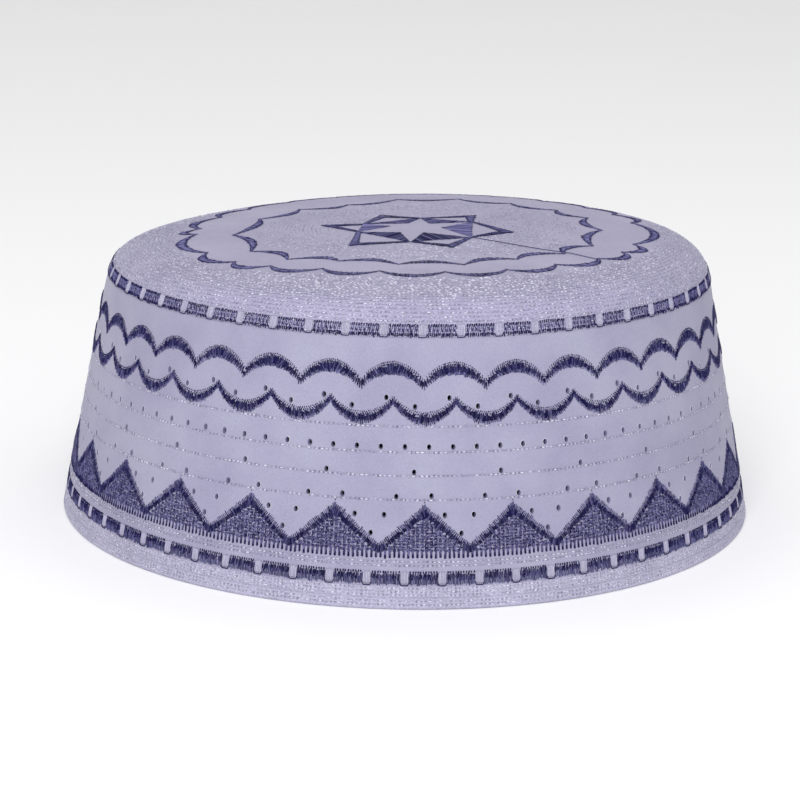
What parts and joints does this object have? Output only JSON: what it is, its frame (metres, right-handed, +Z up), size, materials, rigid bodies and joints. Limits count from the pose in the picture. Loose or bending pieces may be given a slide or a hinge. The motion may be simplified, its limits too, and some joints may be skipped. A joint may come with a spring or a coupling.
{
  "type": "prayer cap",
  "caption": "Round flat-topped prayer cap of stiff quilted cloth, with embroidered scallops, zigzag, dashes and a six-pointed star, hollow underneath.",
  "frame": {"origin": "centre of the rim, on the surface that the cap rests on", "axes": "+Z up through the crown, -Y towards the front seen in the picture, +X to its right"},
  "size_m": [0.1895, 0.1896, 0.0779],
  "materials": {
    "quilted_cloth": "pale lavender-white cotton, closely quilted with raised pale stitches",
    "smooth_cloth": "pale lavender-white cotton, fine smooth weave",
    "thread": "dark indigo embroidery thread with a soft sheen"
  },
  "bodies": {
    "root": {"crown": "quilted_cloth", "side_band": "smooth_cloth", "hem_band": "quilted_cloth", "upper_dash_embroidery": "thread", "upper_scallop_embroidery": "thread", "lower_scallop_embroidery": "thread", "zigzag_embroidery": "thread", "lower_dash_embroidery": "thread", "crown_outer_scallops": "thread", "crown_inner_scallops": "thread", "crown_star": "thread"}
  },
  "joints": []
}
